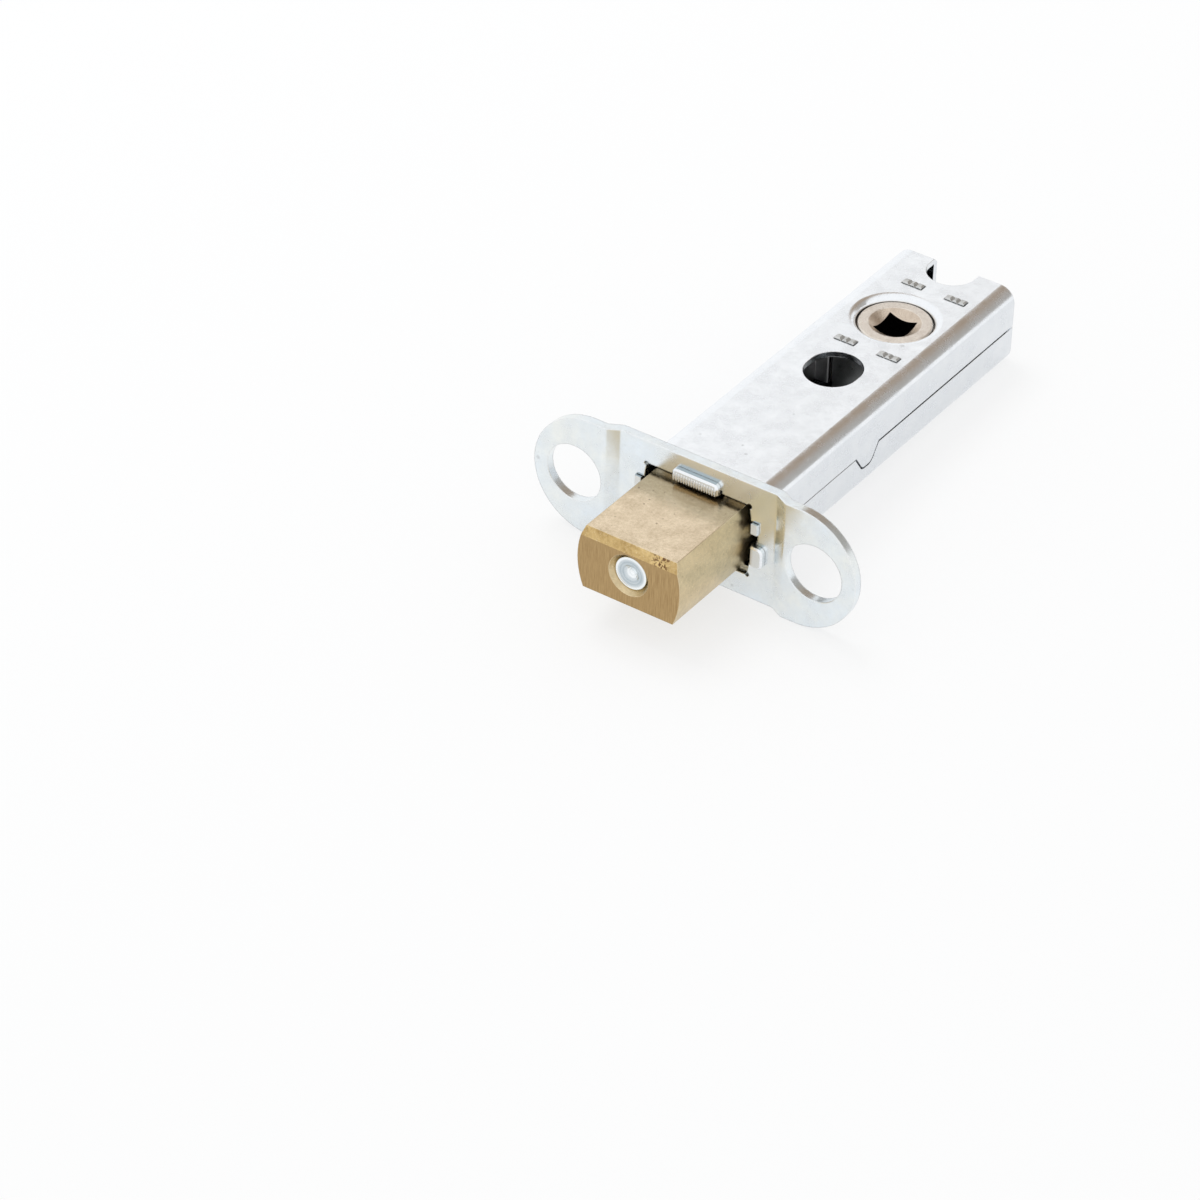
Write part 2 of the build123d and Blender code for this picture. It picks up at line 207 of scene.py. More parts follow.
def open_group(name, inputs, outputs):
    """A shader group with the given sockets: its tree, its inputs and its output node."""
    group = bpy.data.node_groups.new(name, "ShaderNodeTree")
    for label, kind, start in inputs:
        socket = group.interface.new_socket(label, in_out="INPUT", socket_type=kind)
        if start is not None:
            socket.default_value = start
    for label, kind in outputs:
        group.interface.new_socket(label, in_out="OUTPUT", socket_type=kind)
    source = group.nodes.new("NodeGroupInput").outputs
    result = group.nodes.new("NodeGroupOutput").inputs
    return group, source, result


def use(tree, effect, **values):
    """Places a shared effect in a material with its own values."""
    return make(tree, "ShaderNodeGroup", {"node_tree": effects[effect]}, **values).outputs


print("shared effects so far:", len(effects))

# %% [markdown]
# ## Cloudy patches
# Plate and bare metal are never one even tone. Noise gives soft patches, and spreading it about its
# middle value sets how strongly light and dark differ.

# %% Cloudy patches
def build_clouding():
    """Soft light and dark areas of a given size in millimetres."""
    inputs = [("Place", VECTOR, None), ("Size", FLOAT, 3.0), ("Contrast", FLOAT, 0.5)]
    group, source, result = open_group("clouding", inputs, [("Amount", FLOAT)])
    place = source["Place"]
    scale = arithmetic(group, "DIVIDE", 1.0, source["Size"])
    noise = make(group, "ShaderNodeTexNoise", Vector=place, Scale=scale, Detail=5.0, Roughness=0.6)
    centred = arithmetic(group, "SUBTRACT", noise.outputs["Fac"], 0.5)
    spread = times(group, centred, times(group, source["Contrast"], 4.0))
    group.links.new(plus(group, spread, 0.5, clamp=True), result["Amount"])
    return group


effects["clouding"] = build_clouding()
print("made the effect:", effects["clouding"].name)

# %% [markdown]
# ## Fine lines
# Rolling, drawing and sawing all leave lines one way. Each number of the squeeze says how fast the
# noise changes in that direction, so where it is low, the pattern is drawn out into lines.

# %% Fine lines
def build_lines():
    """Fine lines: the lowest of the three squeeze numbers is the way they run."""
    inputs = [("Place", VECTOR, None), ("Squeeze", VECTOR, (8.0, 0.15, 8.0))]
    group, source, result = open_group("fine_lines", inputs, [("Height", FLOAT)])
    squeezed = vector(group, "MULTIPLY", source["Place"], source["Squeeze"])["Vector"]
    noise = make(group, "ShaderNodeTexNoise", Vector=squeezed, Scale=1.0, Detail=3.0, Roughness=0.7)
    group.links.new(noise.outputs["Fac"], result["Height"])
    return group


effects["lines"] = build_lines()
print("made the effect:", effects["lines"].name)

# %% [markdown]
# ## Edges that catch the light
# No real edge is perfectly sharp. The Bevel node gives a normal that rounds the edge off, and where it
# differs from the flat one, there is an edge. The metals paint a highlight along the edges with this mask.

# %% Edges
def build_edges():
    """Where a surface turns sharply: a patchy mask along the edge and a normal that rounds it off."""
    inputs = [("Radius", FLOAT, 0.15), ("Breakup", FLOAT, 0.3), ("Place", VECTOR, None)]
    group, source, result = open_group("edge_glint", inputs, [("Mask", FLOAT), ("Normal", VECTOR)])
    rounded = make(group, "ShaderNodeBevel", {"samples": 6}, Radius=times(group, source["Radius"], MM))
    rounded = rounded.outputs["Normal"]
    flat = make(group, "ShaderNodeNewGeometry").outputs["Normal"]
    same = vector(group, "DOT_PRODUCT", rounded, flat)["Value"]
    turned = span(group, arithmetic(group, "SUBTRACT", 1.0, same), 0.01, 0.12)
    noise = make(group, "ShaderNodeTexNoise", Vector=source["Place"], Scale=1.6, Detail=3.0)
    patchy = times(group, noise.outputs["Fac"], source["Breakup"])
    group.links.new(arithmetic(group, "SUBTRACT", turned, patchy, clamp=True), result["Mask"])
    group.links.new(rounded, result["Normal"])
    return group


effects["edges"] = build_edges()
print("made the effect:", effects["edges"].name)

# %% [markdown]
# ## Specks
# Dirt, pits and pores are small, dark and scattered. A Voronoi texture gives one point to each cell
# and a random colour with it: red decides which points become specks, green how large they are.

# %% Specks
SPECK_SIZE = 0.28
SPECK_SHARPNESS = 9.0


def build_specks():
    """Small dark specks: how far apart the cells are, and the share of them that have a speck."""
    inputs = [("Place", VECTOR, None), ("Spacing", FLOAT, 0.9), ("Share", FLOAT, 0.2)]
    group, source, result = open_group("specks", inputs, [("Mask", FLOAT)])
    scale = arithmetic(group, "DIVIDE", 1.0, source["Spacing"])
    cells = make(group, "ShaderNodeTexVoronoi", Vector=source["Place"], Scale=scale, Randomness=1.0).outputs
    lot = make(group, "ShaderNodeSeparateColor", Color=cells["Color"]).outputs
    chosen = arithmetic(group, "LESS_THAN", lot["Red"], source["Share"])
    size = times(group, lot["Green"], SPECK_SIZE)
    near = arithmetic(group, "SUBTRACT", size, cells["Distance"])
    soft = times(group, near, SPECK_SHARPNESS, clamp=True)
    group.links.new(times(group, soft, chosen), result["Mask"])
    return group


effects["specks"] = build_specks()
print("made the effect:", effects["specks"].name)

# %% [markdown]
# ## Scratches
# Handling leaves a few short scratches that run aslant. They are made as the fine lines are, from
# noise that is drawn out, but it is turned first, and only its highest peaks are kept.

# %% Scratches
SCRATCH_DRAW = (7.0, 0.2, 7.0)
SCRATCH_SHARPNESS = 16.0


def build_scratches():
    """Sparse fine scratches: the turn sets their direction, and a higher level leaves fewer."""
    inputs = [("Place", VECTOR, None), ("Turn", VECTOR, (0.4, 0.3, 0.6)), ("Level", FLOAT, 0.66)]
    group, source, result = open_group("scratches", inputs, [("Mask", FLOAT)])
    turned = make(
        group,
        "ShaderNodeVectorRotate",
        {"rotation_type": "EULER_XYZ"},
        Vector=source["Place"],
        Rotation=source["Turn"],
    )
    drawn = vector(group, "MULTIPLY", turned.outputs["Vector"], SCRATCH_DRAW)["Vector"]
    noise = make(group, "ShaderNodeTexNoise", Vector=drawn, Scale=1.0, Detail=1.0)
    peaks = arithmetic(group, "SUBTRACT", noise.outputs["Fac"], source["Level"])
    group.links.new(times(group, peaks, SCRATCH_SHARPNESS, clamp=True), result["Mask"])
    return group


effects["scratches"] = build_scratches()
print("made the effect:", effects["scratches"].name)

# %% [markdown]
# ## Which way a face looks
# Some finishes, and some painted light and shade, belong to one side of a piece: the top of a tab, the
# front of the bolt. The surface's normal, compared with a direction, picks that side out without cutting
# the mesh up.

# %% Which way a face looks
FACING_SHARPNESS = 20.0
UP = (0.0, 0.0, 1.0)
FORWARD = (0.0, -1.0, 0.0)
RIGHT = (1.0, 0.0, 0.0)
LEFT = (-1.0, 0.0, 0.0)


def build_facing():
    """How squarely the surface faces a given direction, as a mask with a soft limit."""
    inputs = [("Direction", VECTOR, UP), ("Limit", FLOAT, 0.9)]
    group, source, result = open_group("facing", inputs, [("Mask", FLOAT)])
    normal = make(group, "ShaderNodeNewGeometry").outputs["Normal"]
    along = vector(group, "DOT_PRODUCT", normal, source["Direction"])["Value"]
    over = arithmetic(group, "SUBTRACT", along, source["Limit"])
    group.links.new(times(group, over, FACING_SHARPNESS, clamp=True), result["Mask"])
    return group


effects["facing"] = build_facing()
print("made the effect:", effects["facing"].name)

# %% [markdown]
# ## Rings left by turning
# A lathe leaves rings round its axis, so this pattern depends on one number only: how far a point lies from
# that axis. The sine of it gives the rings, and two soft steps give a band between the dimple in the middle
# and the rim, which is painted darker so that both show as painted highlights.

# %% Rings left by turning
DIMPLE_EDGE = (0.7, 1.4)
RIM_EDGE = (2.1, 2.5)


def build_turning():
    """Rings round an axis along Y, and the band between the dimple and the rim that leaves them as painted
    highlights.
    """
    inputs = [("Place", VECTOR, None), ("Closeness", FLOAT, 14.0)]
    group, source, result = open_group("turned_rings", inputs, [("Between_Highlights", FLOAT), ("Rings", FLOAT)])
    parts = apart(group, source["Place"])
    radius = reach(group, parts["X"], parts["Z"])
    past_dimple, past_rim = span(group, radius, *DIMPLE_EDGE), span(group, radius, *RIM_EDGE)
    between_highlights = arithmetic(group, "SUBTRACT", past_dimple, past_rim)
    rings = arithmetic(group, "SINE", times(group, radius, source["Closeness"]))
    group.links.new(between_highlights, result["Between_Highlights"])
    group.links.new(rings, result["Rings"])
    return group


effects["turning"] = build_turning()
print("shared effects:", sorted(effects))

# %% [markdown]
# ## Places on the case that look different
# The case isn't the same all over. The tabs' tops get a painted blue-grey reflection, and their fronts are
# matt from the jaw that folded them. The inside gets painted shade, and the drawn side walls are painted a
# little darker as shade. A place and the way a face looks find each of these.

# %% Masks for the case
TABS_END = 1.3
INNER_HALF_WIDTH = 10.15
INNER_HALF_HEIGHT = 6.05
INNER_FRONT = 2.0
INNER_REAR = 75.35


def tab_ends(tree, place):
    """Masks for the folded tabs' tops and their fronts."""
    ahead = arithmetic(tree, "LESS_THAN", apart(tree, place)["Y"], TABS_END)
    above = use(tree, "facing", Direction=UP, Limit=0.9)["Mask"]
    front = use(tree, "facing", Direction=FORWARD, Limit=0.8)["Mask"]
    return times(tree, ahead, above), times(tree, ahead, front)


def case_parts(tree, place):
    """Masks for the case's inside and its side walls."""
    parts = apart(tree, place)
    across = arithmetic(tree, "LESS_THAN", arithmetic(tree, "ABSOLUTE", parts["X"]), INNER_HALF_WIDTH)
    upright = arithmetic(tree, "LESS_THAN", arithmetic(tree, "ABSOLUTE", parts["Z"]), INNER_HALF_HEIGHT)
    behind = arithmetic(tree, "GREATER_THAN", parts["Y"], INNER_FRONT)
    ahead = arithmetic(tree, "LESS_THAN", parts["Y"], INNER_REAR)
    inside = times(tree, times(tree, across, upright), times(tree, behind, ahead))
    right = use(tree, "facing", Direction=RIGHT, Limit=0.9)["Mask"]
    left = use(tree, "facing", Direction=LEFT, Limit=0.9)["Mask"]
    return inside, plus(tree, right, left)


print("inside of the case in mm:", 2 * INNER_HALF_WIDTH, INNER_REAR - INNER_FRONT, 2 * INNER_HALF_HEIGHT)

# %% [markdown]
# ## Coats on zinc plate
# Zinc plate that is passivated clear is a bluish white metal with a faint cloudy bloom. Over it lie a few
# specks of dirt and scratches, and a painted highlight makes its edges whiter. On a wide strip the
# passivate also dries in large patches of another tint.

# %% Colours of zinc plate
PLATE_DIRT = rgb(0.42, 0.43, 0.44)
PLATE_SCRATCH = rgb(0.58, 0.61, 0.64)
# A whiter colour that paints a highlight along the plate's edges.
PLATE_EDGE_HIGHLIGHT = rgb(0.95, 0.96, 0.97)
# Painted shade that darkens the case's side walls a little.
PAINTED_WALL_SHADE = rgb(0.20, 0.22, 0.24)
# A painted blue-grey reflection on the tops of the folded tabs.
PAINTED_TAB_TOP_REFLECTION = rgb(0.47, 0.54, 0.58)
MATT_PLATE = rgb(0.86, 0.89, 0.90)
# Painted shade for the dark inside of the case.
PAINTED_INSIDE_SHADE = rgb(0.07, 0.085, 0.095)


def plate_colour(tree, place, mixed, light, dark, tint, edge):
    """Plate between its dark and its light tone, with dirt, scratches and a painted highlight on the edges.
    """
    if tint:
        patches = use(tree, "clouding", Place=place, Size=9.0, Contrast=1.0)["Amount"]
        light = blend(tree, patches, light, tint)
    specks = use(tree, "specks", Place=place, Spacing=1.7, Share=0.10)["Mask"]
    scratched = use(tree, "scratches", Place=place, Turn=(0.0, 0.0, 0.9), Level=0.68)["Mask"]
    colour = blend(tree, mixed, dark, light)
    colour = coat(tree, colour, specks, 0.35, PLATE_DIRT)
    colour = coat(tree, colour, scratched, 0.30, PLATE_SCRATCH)
    return coat(tree, colour, edge, 0.6, PLATE_EDGE_HIGHLIGHT)


def case_colour(tree, colour, top, front, inside, wall):
    """The case's own places: painted shade on the side walls, a painted reflection on the tab tops, matt
    tab fronts and painted shade inside.
    """
    # The walls and the inside get painted shade, and the tab tops a painted reflection.
    colour = coat(tree, colour, wall, 0.17, PAINTED_WALL_SHADE)
    colour = blend(tree, top, colour, PAINTED_TAB_TOP_REFLECTION)
    colour = blend(tree, front, colour, MATT_PLATE)
    return coat(tree, colour, inside, 0.8, PAINTED_INSIDE_SHADE)


print("plate colours:", PLATE_EDGE_HIGHLIGHT[:3], PAINTED_WALL_SHADE[:3], PAINTED_TAB_TOP_REFLECTION[:3])

# %% [markdown]
# ## The recipe for zinc plate
# Such a metal is mostly what it mirrors, so Metallic is 1 and the pale room gives it its
# brightness. Only the matt tab fronts are less metallic, and rougher. The recipe takes its colours
# and the way its lines run, so that all the plated pieces can share it.

# %% Zinc plate
ALONG_CASE = (4.0, 0.12, 4.0)
ALONG_FOREND = (0.12, 4.0, 4.0)
UPRIGHT = (9.0, 9.0, 0.3)
MATT_METALLIC = 0.3
MATT_ROUGHNESS = 0.25


def zinc_plate(
    name, light, dark, squeeze, rough=0.3, clouds=3.0, rounding=0.14, case=False, tint=None
):
    """Zinc plated steel: squeeze sets the way its rolling lines run, clouds the size of its bloom."""
    material, tree, shader, place = new_metal(name)
    large = use(tree, "clouding", Place=place, Size=clouds, Contrast=0.45)["Amount"]
    small = use(tree, "clouding", Place=place, Size=0.9, Contrast=0.40)["Amount"]
    lines = use(tree, "lines", Place=place, Squeeze=squeeze)["Height"]
    edge = use(tree, "edges", Place=place, Radius=rounding, Breakup=0.25)
    mixed = weigh(tree, large, small, 0.75)
    colour = plate_colour(tree, place, mixed, light, dark, tint, edge["Mask"])
    roughness = span(tree, mixed, 0.0, 1.0, rough + 0.10, rough - 0.05)
    if case:
        top, front = tab_ends(tree, place)
        inside, wall = case_parts(tree, place)
        colour = case_colour(tree, colour, top, front, inside, wall)
        tree.links.new(span(tree, front, 0.0, 1.0, 1.0, MATT_METALLIC), shader.inputs["Metallic"])
        roughness = plus(tree, roughness, times(tree, front, MATT_ROUGHNESS))
    relief = weigh(tree, lines, small, 0.5)
    close_metal(tree, shader, colour, roughness, relief, edge["Normal"], strength=0.06)
    return material


print("recipe ready:", zinc_plate.__name__)

# %% [markdown]
# ## Three kinds of plated piece
# The case is the brightest, with lines along its length. The forend is bluer and patchier, with
# lines across the lock. The ends of the two spacer plates were staked, which left them greyer and
# coarser.

# %% Case, forend and tenons
case_zinc = zinc_plate(
    "case_zinc",
    rgb(0.95, 0.97, 0.99),
    rgb(0.86, 0.895, 0.935),
    ALONG_CASE,
    rough=0.22,
    case=True,
)
forend_zinc = zinc_plate(
    "forend_zinc",
    rgb(0.84, 0.91, 0.965),
    rgb(0.77, 0.815, 0.845),
    ALONG_FOREND,
    rough=0.22,
    rounding=0.35,
    tint=rgb(0.93, 0.94, 0.89),
)
tenon_zinc = zinc_plate(
    "tenon_zinc", rgb(0.76, 0.77, 0.76), rgb(0.45, 0.46, 0.46), UPRIGHT, clouds=1.2
)
print("zinc finishes:", case_zinc.name, forend_zinc.name, tenon_zinc.name)

# %% [markdown]
# ## Brass
# The bolt is cut from drawn brass bar and left bare. Its top is less glossy and speckled from handling, and
# its front was sawn and linished, with fine upright lines. Each face also has its own tones as painted
# light and shade: the top lighter and pinker, the sides yellower, the front darker and the bevel over the
# front golden. Something hard has nicked the bevel's right end.

# %% Colours of brass
# Each pair of tones paints light and shade on one face: the top lighter, the front darker.
SIDE_DARK, SIDE_LIGHT = rgb(0.56, 0.455, 0.275), rgb(0.80, 0.655, 0.41)
TOP_DARK, TOP_LIGHT = rgb(0.58, 0.465, 0.315), rgb(0.95, 0.80, 0.595)
FRONT_DARK, FRONT_LIGHT = rgb(0.35, 0.225, 0.10), rgb(0.53, 0.37, 0.18)
GOLD_DARK, GOLD_LIGHT = rgb(0.42, 0.27, 0.10), rgb(0.82, 0.61, 0.29)
# This colour is brass bared by the scratches, and also a painted highlight along the edges.
BRASS_SCRATCH_AND_HIGHLIGHT = rgb(0.95, 0.82, 0.57)
BRASS_SPECK = rgb(0.22, 0.15, 0.09)
BRASS_NICK = rgb(0.13, 0.05, 0.02)
# This colour darkens the top toward the window.
BRASS_DARKENING = rgb(0.40, 0.305, 0.16)
NICKS_LEFT, NICKS_RIGHT = (3.0, 5.0), (7.6, 6.4)
DARKENING_START, DARKENING_END = -7.5, -0.5
DARKENING_SHARE = 0.6


def golden_bevel(tree, place, mixed):
    """The bevel's colour, with dark nicks toward its right end."""
    across = apart(tree, place)["X"]
    spots = span(tree, use(tree, "clouding", Place=place, Size=0.5, Contrast=1.0)["Amount"], 0.58, 0.66)
    nicks = times(tree, spots, span(tree, across, *NICKS_LEFT))
    nicks = times(tree, nicks, span(tree, across, *NICKS_RIGHT))
    return coat(tree, blend(tree, mixed, GOLD_DARK, GOLD_LIGHT), nicks, 0.9, BRASS_NICK)


def bar_colour(tree, place, mixed, upright, front, above):
    """Side, top, front and bevel, each with its own pair of tones, which paint light and shade on the bar.
    """
    bevel = use(tree, "facing", Direction=(0.0, -0.92, 0.40), Limit=0.93)["Mask"]
    sides = blend(tree, mixed, SIDE_DARK, SIDE_LIGHT)
    top = blend(tree, mixed, TOP_DARK, TOP_LIGHT)
    face = blend(tree, span(tree, upright, 0.3, 0.7), FRONT_DARK, FRONT_LIGHT)
    colour = blend(tree, above, sides, top)
    colour = blend(tree, front, colour, face)
    return blend(tree, bevel, colour, golden_bevel(tree, place, mixed))


print("film of brass_top ends before the window, in mm:", DARKENING_END)

# %% [markdown]
# ## Marks and painted highlights on the brass
# The top is darker toward the window, specks sit mostly on the top, and scratches show everywhere but on
# the linished front. A painted highlight runs along the edges. They are laid over the bar's own colours in
# that order.

# %% Brass
def marks_and_highlight_colour(tree, place, colour, front, above, edge):
    """The darkening toward the window, the specks, the scratches and the painted edge highlight over the
    bar's own colours.
    """
    specks = use(tree, "specks", Place=place, Spacing=0.75, Share=0.35)["Mask"]
    scratched = use(tree, "scratches", Place=place, Turn=(0.5, 0.0, 0.7), Level=0.64)["Mask"]
    # The top is darkened toward the window.
    darkening = times(tree, span(tree, apart(tree, place)["Y"], DARKENING_START, DARKENING_END, 0.0, DARKENING_SHARE), above)
    colour = blend(tree, darkening, colour, BRASS_DARKENING)
    colour = coat(tree, colour, specks, span(tree, above, 0.0, 1.0, 0.25, 0.8), BRASS_SPECK)
    colour = coat(tree, colour, scratched, span(tree, front, 0.0, 1.0, 0.45, 0.0), BRASS_SCRATCH_AND_HIGHLIGHT)
    # The last coat is a painted highlight along the edges.
    return coat(tree, colour, edge, 0.6, BRASS_SCRATCH_AND_HIGHLIGHT)


def bolt_brass():
    material, tree, shader, place = new_metal("bolt_brass")
    clouds = use(tree, "clouding", Place=place, Size=3.0, Contrast=0.7)["Amount"]
    grain = use(tree, "clouding", Place=place, Size=0.55, Contrast=0.8)["Amount"]
    along = use(tree, "lines", Place=place, Squeeze=(6.0, 0.25, 6.0))["Height"]
    upright = use(tree, "lines", Place=place, Squeeze=UPRIGHT)["Height"]
    front = use(tree, "facing", Direction=FORWARD, Limit=0.95)["Mask"]
    above = use(tree, "facing", Direction=UP, Limit=0.95)["Mask"]
    edge = use(tree, "edges", Place=place, Radius=0.20, Breakup=0.5)
    colour = bar_colour(tree, place, weigh(tree, clouds, grain, 0.55), upright, front, above)
    colour = marks_and_highlight_colour(tree, place, colour, front, above, edge["Mask"])
    roughness = plus(tree, span(tree, above, 0.0, 1.0, 0.30, 0.19), times(tree, grain, 0.08))
    relief = plus(tree, times(tree, grain, 0.6), blend(tree, front, along, upright))
    close_metal(tree, shader, colour, roughness, relief, edge["Normal"], strength=0.10)
    return material


brass = bolt_brass()
print("brass:", brass.name)

# %% [markdown]
# ## Turned steel
# The stud's end was turned and then peened, which left fine rings, and it is painted bright in its dimple
# and at its rim as a highlight, darker between. The hidden spring is the same kind of steel, only darker
# with oil.

# %% Stud and spring
# A painted highlight along the steel's edges.
STEEL_EDGE_HIGHLIGHT = rgb(0.93, 0.94, 0.95)
RING_DEPTH = 0.03 * MM
TURNED_ROUGHNESS = (0.26, 0.11)


def turned_steel(name, light, dark):
    """Steel turned round an axis along Y."""
    material, tree, shader, place = new_metal(name)
    turning = use(tree, "turning", Place=place)
    clouds = use(tree, "clouding", Place=place, Size=1.4, Contrast=0.5)["Amount"]
    edge = use(tree, "edges", Place=place, Radius=0.15, Breakup=0.3)
    # The band between the dimple and the rim is painted darker, so the dimple and the rim show as painted
    # highlights.
    shade = weigh(tree, turning["Between_Highlights"], clouds, 0.75)
    shade = plus(tree, shade, times(tree, turning["Rings"], 0.10), clamp=True)
    colour = coat(tree, blend(tree, shade, light, dark), edge["Mask"], 0.6, STEEL_EDGE_HIGHLIGHT)
    roughness = span(tree, clouds, 0.0, 1.0, *TURNED_ROUGHNESS)
    close_metal(
        tree, shader, colour, roughness, turning["Rings"], edge["Normal"], strength=0.3, depth=RING_DEPTH
    )
    return material


stud_steel = turned_steel("stud_steel", rgb(0.95, 0.985, 1.0), rgb(0.47, 0.54, 0.58))
spring_steel = turned_steel("spring_steel", rgb(0.50, 0.52, 0.56), rgb(0.33, 0.34, 0.38))
print("turned steels:", stud_steel.name, spring_steel.name)

# %% [markdown]
# ## The hub's socket and dish
# The square socket is painted black as shade, and the dish around it is painted browner than the ring that
# the collar guards, as a brown reflection. Both lie round the spindle's axis, so the place is first moved
# there. The larger of the two distances from the middle makes a square, and their length makes a circle.

# %% Masks for the hub
SPINDLE_AXIS = (0.0, 57.0, 0.0)
SOCKET_HALF = 2.58
DISH_RADIUS = 4.3
DISH_BLUR = 0.15
# Painted shade that blackens the socket, then the two tones of a painted brown reflection in the dish.
PAINTED_SOCKET_SHADE = rgb(0.03, 0.026, 0.022)
DISH_REFLECTION_DARK, DISH_REFLECTION_LIGHT = rgb(0.40, 0.29, 0.19), rgb(0.66, 0.53, 0.40)


def inside_socket(tree, place):
    """Masks for the square socket and for the dish around it."""
    parts = apart(tree, vector(tree, "SUBTRACT", place, SPINDLE_AXIS)["Vector"])
    across = arithmetic(tree, "ABSOLUTE", parts["X"])
    along = arithmetic(tree, "ABSOLUTE", parts["Y"])
    socket = arithmetic(tree, "LESS_THAN", arithmetic(tree, "MAXIMUM", across, along), SOCKET_HALF)
    dish = span(tree, reach(tree, across, along), DISH_RADIUS, DISH_RADIUS - DISH_BLUR)
    return socket, dish


print("socket and dish in mm:", 2 * SOCKET_HALF, 2 * DISH_RADIUS)

# %% [markdown]
# ## Sintered metal
# The hub is pressed and sintered powder: a warm, slightly pink grey with fine grain and tiny open
# pores. The hidden draw bar gets the same grain in an oiled steel grey, and only a little of it
# shows through the oval hole.

# %% Hub and draw bar
PORE = rgb(0.20, 0.17, 0.15)
# A painted highlight along the edges of sintered pieces.
SINTERED_EDGE_HIGHLIGHT = rgb(0.93, 0.89, 0.85)


def sintered(name, light, dark, rough, socket=False):
    """Pressed powder metal, with the socket's painted shade and the dish's painted reflection where the
    piece has them.
    """
    material, tree, shader, place = new_metal(name)
    clouds = use(tree, "clouding", Place=place, Size=1.6, Contrast=0.6)["Amount"]
    grain = use(tree, "clouding", Place=place, Size=0.12, Contrast=1.0)["Amount"]
    pores = use(tree, "specks", Place=place, Spacing=0.32, Share=0.35)["Mask"]
    edge = use(tree, "edges", Place=place, Radius=0.16, Breakup=0.4)
    mixed = weigh(tree, clouds, grain, 0.6)
    colour = coat(tree, blend(tree, mixed, dark, light), pores, 0.5, PORE)
    colour = coat(tree, colour, edge["Mask"], 0.5, SINTERED_EDGE_HIGHLIGHT)
    if socket:
        # Painted shade in the socket and a painted brown reflection in the dish.
        hole, dish = inside_socket(tree, place)
        colour = coat(tree, colour, dish, 0.6, blend(tree, mixed, DISH_REFLECTION_DARK, DISH_REFLECTION_LIGHT))
        colour = blend(tree, hole, colour, PAINTED_SOCKET_SHADE)
    roughness = span(tree, grain, 0.0, 1.0, rough - 0.06, rough + 0.08)
    relief = arithmetic(tree, "SUBTRACT", grain, pores)
    close_metal(tree, shader, colour, roughness, relief, edge["Normal"], strength=0.2)
    return material


hub_metal = sintered("hub_metal", rgb(0.92, 0.86, 0.78), rgb(0.73, 0.66, 0.59), rough=0.30, socket=True)
bar_steel = sintered("bar_steel", rgb(0.52, 0.52, 0.52), rgb(0.33, 0.33, 0.34), rough=0.36)
print("sintered metals:", hub_metal.name, bar_steel.name)

# %% [markdown]
# ## Finishes for the ten pieces
# The CAD model knows shapes and places, but not how a metal looks. So each of its nodes keeps its
# mesh and its place, and gets one finish of its own metal.

# %% Give each CAD node its finish
finish_of = {
    "forend_plate": forend_zinc,
    "case_upper_shell": case_zinc,
    "case_lower_shell": case_zinc,
    "spacer_plate_front": tenon_zinc,
    "spacer_plate_rear": tenon_zinc,
    "bolt_head": brass,
    "bolt_stud": stud_steel,
    "draw_bar": bar_steel,
    "hub": hub_metal,
    "detent_spring": spring_steel,
}
for name, material in finish_of.items():
    nodes[name].data.materials.clear()
    nodes[name].data.materials.append(material)
print("finishes given to", len(finish_of), "nodes")

# %% [markdown]
# ## Pressed ribs on the folded tabs
# The tool that folds the wide tabs over the forend has a ribbed jaw, which leaves a row of fine
# upright ridges on each tab's front. A row of equal things is work for Geometry Nodes: one rib is
# set along a line, with its number and sizes as inputs, so the row can be changed without
# modelling.

# %% A Geometry Nodes tree for a row of ribs
def build_rib_row():
    tree = bpy.data.node_groups.new("rib_row", "GeometryNodeTree")
    face = tree.interface
    face.new_socket("Geometry", in_out="INPUT", socket_type="NodeSocketGeometry")
    for label, kind in (
        ("Count", "NodeSocketInt"),
        ("Start", VECTOR),
        ("Step", VECTOR),
        ("Radius", FLOAT),
        ("Stretch", VECTOR),
        ("Finish", "NodeSocketMaterial"),
    ):
        face.new_socket(label, in_out="INPUT", socket_type=kind)
    face.new_socket("Geometry", in_out="OUTPUT", socket_type="NodeSocketGeometry")
    given = tree.nodes.new("NodeGroupInput").outputs
    line = make(
        tree,
        "GeometryNodeMeshLine",
        {"mode": "OFFSET"},
        Count=given["Count"],
        Start_Location=given["Start"],
        Offset=given["Step"],
    )
    rib = make(tree, "GeometryNodeMeshUVSphere", Segments=10, Rings=8, Radius=given["Radius"])
    row = make(
        tree,
        "GeometryNodeInstanceOnPoints",
        Points=line.outputs["Mesh"],
        Instance=rib.outputs["Mesh"],
        Scale=given["Stretch"],
    )
    real = make(tree, "GeometryNodeRealizeInstances", Geometry=row.outputs["Instances"])
    real = real.outputs["Geometry"]
    done = make(tree, "GeometryNodeSetMaterial", Geometry=real, Material=given["Finish"])
    end = tree.nodes.new("NodeGroupOutput")
    tree.links.new(done.outputs["Geometry"], end.inputs["Geometry"])
    return tree


rib_row = build_rib_row()
print("rib row inputs:", [s.name for s in rib_row.interface.items_tree if s.in_out == "INPUT"])

# %% [markdown]
# ## From the tree to a plain mesh
# The export drops instances and live modifiers. So the tree runs on an empty carrier, its result is
# kept as a mesh of its own, and the carrier is deleted. A modifier's inputs go by each socket's
# identifier, not by its name.

